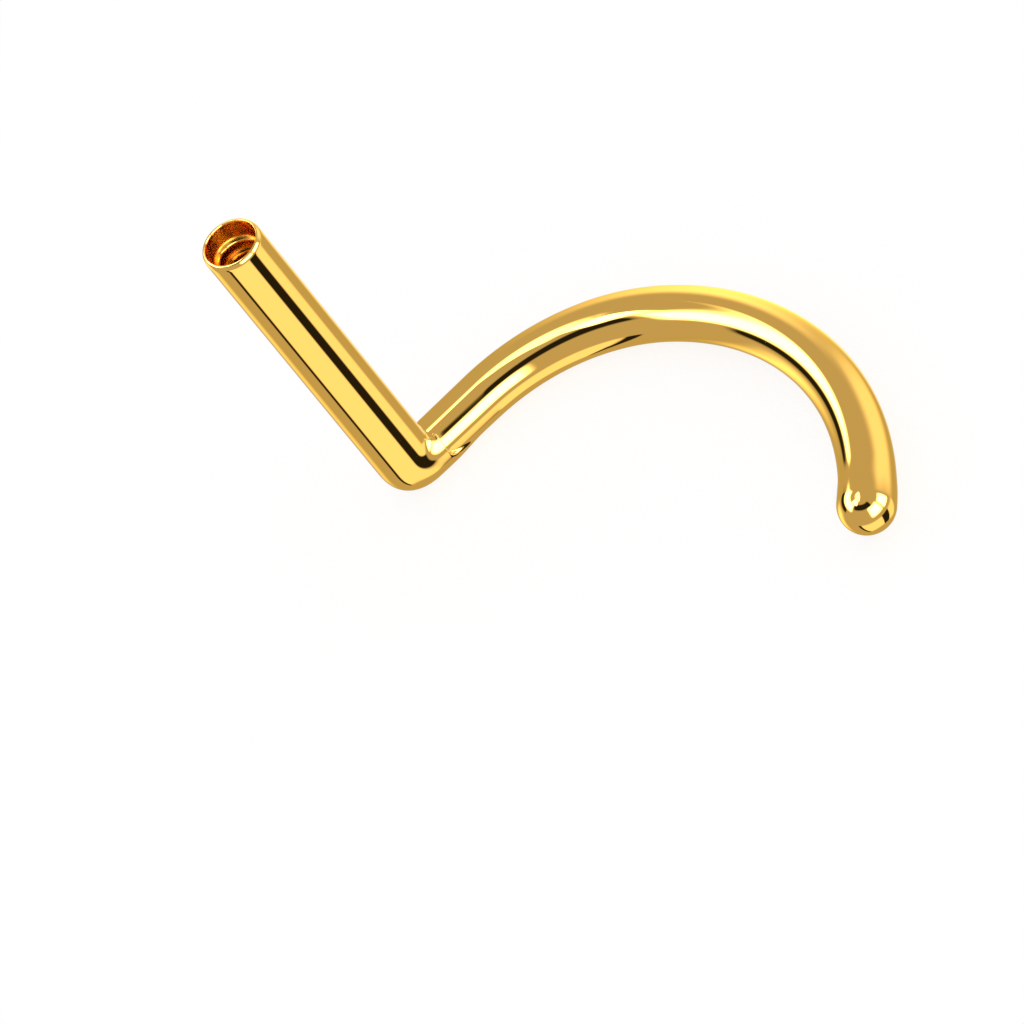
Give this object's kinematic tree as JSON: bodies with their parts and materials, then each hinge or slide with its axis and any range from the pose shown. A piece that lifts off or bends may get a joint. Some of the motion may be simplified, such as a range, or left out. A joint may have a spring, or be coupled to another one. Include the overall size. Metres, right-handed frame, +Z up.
{
  "type": "nose screw",
  "caption": "Gold-coloured wire nose screw: a straight post, open and threaded inside at its end, bent square into a curled tail that holds it inside the nostril.",
  "frame": {"origin": "middle of the footprint, on the surface that the curled tail lies on", "axes": "+Z up along the post to its open end, +X the way the tail leaves the post, -Y the way the tail curls"},
  "size_m": [0.0064, 0.0084, 0.0067],
  "materials": {
    "gold_finish": "polished"
  },
  "bodies": {
    "root": {"nose_screw": "gold_finish"}
  },
  "joints": []
}
